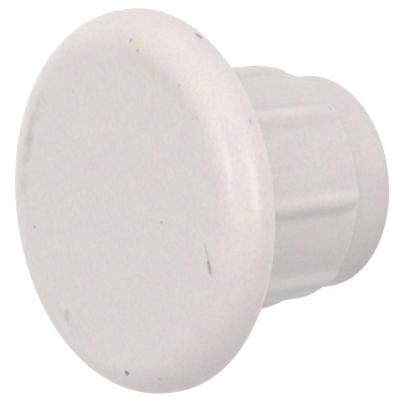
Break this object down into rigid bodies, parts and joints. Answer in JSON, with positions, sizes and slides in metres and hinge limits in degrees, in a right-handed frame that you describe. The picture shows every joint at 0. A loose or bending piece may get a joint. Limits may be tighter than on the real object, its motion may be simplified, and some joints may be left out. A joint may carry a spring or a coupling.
{
  "type": "pipe plug",
  "caption": "One-piece moulded push-in pipe plug: wide flat head with a broad rounded rim, shank with lengthwise grip ribs, and a smooth stepped nose with a blind hollow.",
  "frame": {"origin": "centre of the nose's end face, which the plug stands on", "axes": "+Z along the plug's axis, from the nose to the head's face; +X midway between two ribs"},
  "size_m": [0.025, 0.025, 0.0177],
  "materials": {
    "plug_plastic": "satin off-white moulded plastic, with fine specks"
  },
  "bodies": {
    "root": {"pipe_plug": "plug_plastic"}
  },
  "joints": []
}
